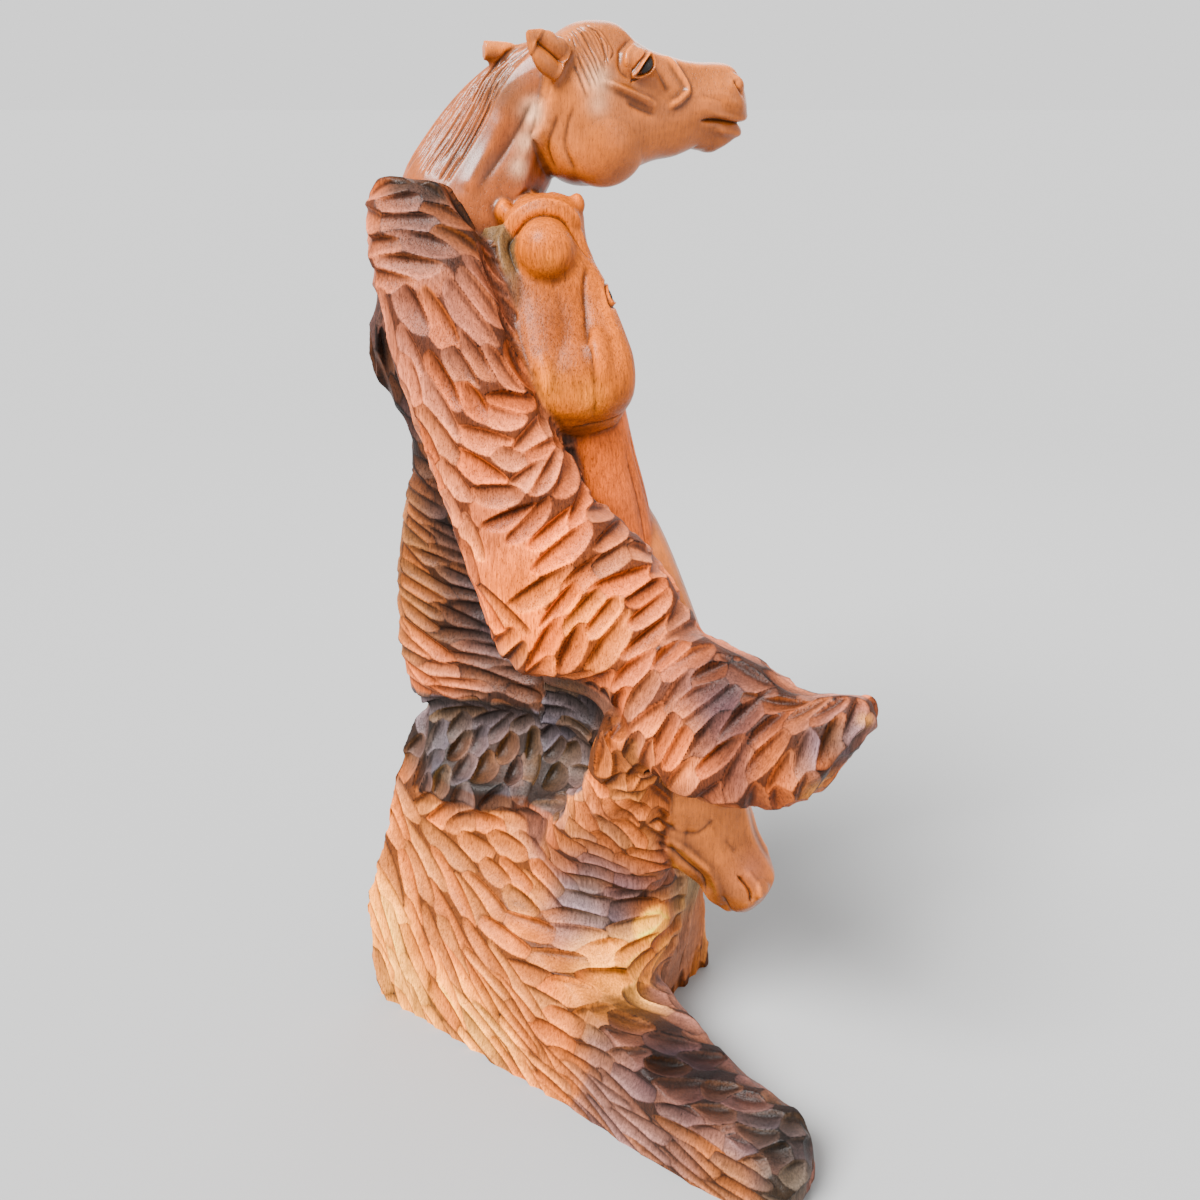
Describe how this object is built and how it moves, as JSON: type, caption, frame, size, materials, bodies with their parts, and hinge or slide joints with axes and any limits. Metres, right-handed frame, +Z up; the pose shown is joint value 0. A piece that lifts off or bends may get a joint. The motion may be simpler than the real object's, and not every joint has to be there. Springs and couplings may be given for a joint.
{
  "type": "horse head sculpture",
  "caption": "Free-standing carved wood sculpture: horse heads growing out of a gouged, twisted trunk that stands on its flared root.",
  "frame": {"origin": "on the ground, on the flat underside of the root, below the trunk", "axes": "+Z up; the front with the gouged slab and the cut limb faces -Y; +X is to the right seen from the front"},
  "size_m": [0.7277, 0.7198, 1.51],
  "materials": {
    "wood": "carved with a gouge, stained red-orange and varnished satin"
  },
  "bodies": {
    "root": {"horse_heads_sculpture": "wood"}
  },
  "joints": []
}
